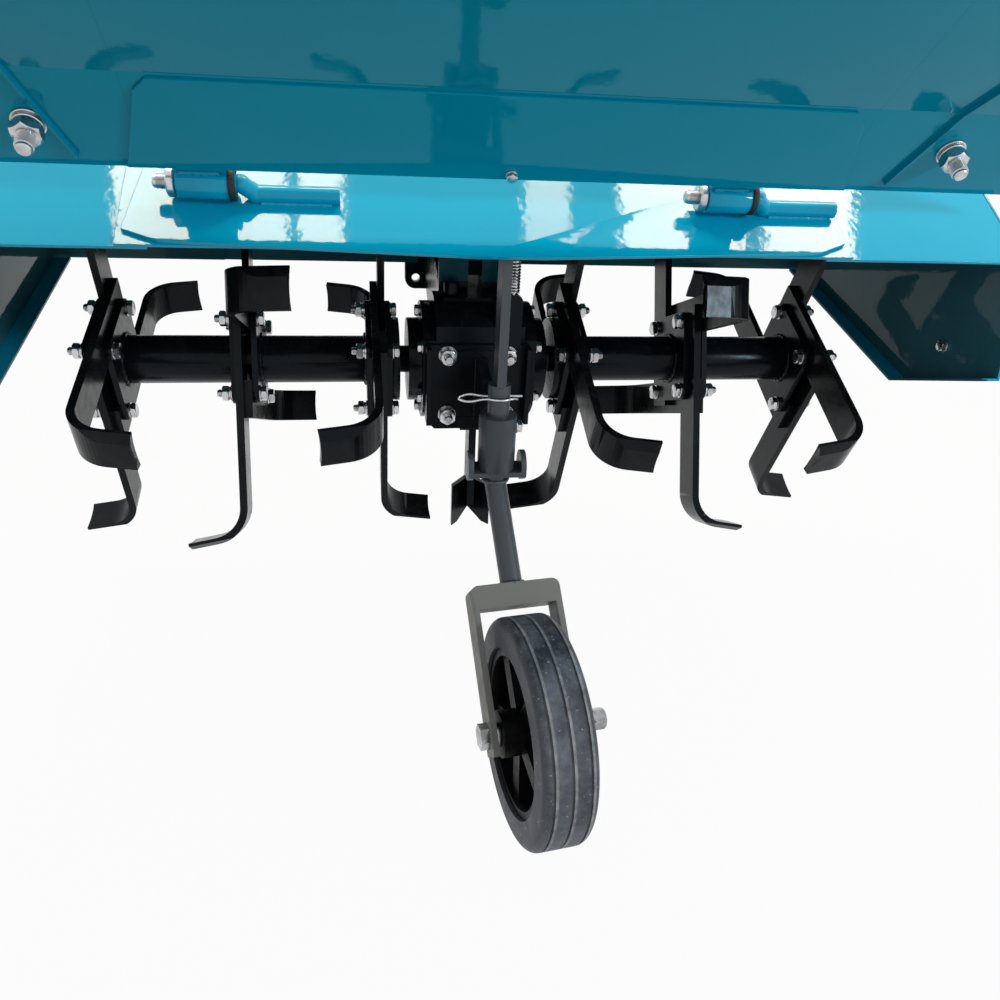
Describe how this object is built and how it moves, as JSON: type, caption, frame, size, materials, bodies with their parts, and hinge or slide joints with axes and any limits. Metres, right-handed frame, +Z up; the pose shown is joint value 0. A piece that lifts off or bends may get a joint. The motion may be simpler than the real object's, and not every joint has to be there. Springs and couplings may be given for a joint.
{
  "type": "rotary tilling unit of a power tiller",
  "caption": "Rotary tilling unit with a tined rotor under a steel hood, a raised rear flap, a swivelling depth wheel on a raked fork and a central gear case with a bolted drive flange",
  "frame": {"origin": "centre of the drive flange's front face, where the unit bolts to the tractor", "axes": "+Y forward to the tractor, +Z up, +X to the right seen from behind"},
  "size_m": [1.18, 0.8205, 0.8977],
  "materials": {
    "teal_paint": "glossy teal enamel with faint orange peel",
    "black_paint": "gloss black enamel over forged and cast steel",
    "grey_paint": "satin dark grey paint",
    "olive_paint": "satin olive grey paint",
    "zinc": "bright zinc plating",
    "black_rubber": "plain black rubber",
    "black_plastic": "moulded black plastic",
    "tyre_rubber": "dusty solid rubber with ribs"
  },
  "bodies": {
    "frame": {"gear_case": "black_paint", "bearing_caps": "black_paint", "rear_bracket": "black_paint", "swivel_socket": "grey_paint", "middle_share": "black_paint", "hood_centre": "teal_paint", "hood_wing_left": "teal_paint", "hood_wing_right": "teal_paint", "side_plate_left": "teal_paint", "side_plate_right": "teal_paint", "hood_brackets": "teal_paint", "hinge_plate": "teal_paint", "hinge_rods": "teal_paint", "lever_plate": "black_paint", "lever_spring": "zinc"},
    "rotor": {"output_shaft": "black_paint", "rotor_tube_left": "black_paint", "rotor_tube_right": "black_paint", "clamps_left": "black_paint", "clamps_right": "black_paint", "tines_left_inner": "black_paint", "tines_left_middle": "black_paint", "tines_left_outer": "black_paint", "tines_right_inner": "black_paint", "tines_right_middle": "black_paint", "tines_right_outer": "black_paint"},
    "flap": {"flap_centre": "teal_paint", "flap_wing_left": "teal_paint", "flap_wing_right": "teal_paint", "flap_strip": "teal_paint", "flap_barrels": "teal_paint", "friction_rings": "black_rubber"},
    "caster": {"stem": "grey_paint", "stop_plate": "grey_paint", "lift_bar": "grey_paint", "spring_clip": "zinc", "fork": "olive_paint", "axle_bolt": "zinc"},
    "wheel": {"wheel_rim": "black_plastic", "wheel_tyre": "tyre_rubber"}
  },
  "joints": [
    {"name": "rotor_spin", "type": "hinge", "parent": "frame", "child": "rotor", "pos_m": [0, -0.29, -0.105], "axis": [1, 0, 0], "continuous": true},
    {"name": "flap_hinge", "type": "hinge", "parent": "frame", "child": "flap", "pos_m": [0, -0.4841, 0.13105], "axis": [1, 0, 0], "range_deg": [0, 80]},
    {"name": "wheel_swivel", "type": "hinge", "parent": "frame", "child": "caster", "pos_m": [0, -0.506, -0.15], "axis": [0, 0, 1], "range_deg": [-52, 38]},
    {"name": "wheel_roll", "type": "hinge", "parent": "caster", "child": "wheel", "pos_m": [0.02244, -0.69701, -0.38824], "axis": [0.9932, 0.1167, 0], "continuous": true}
  ]
}
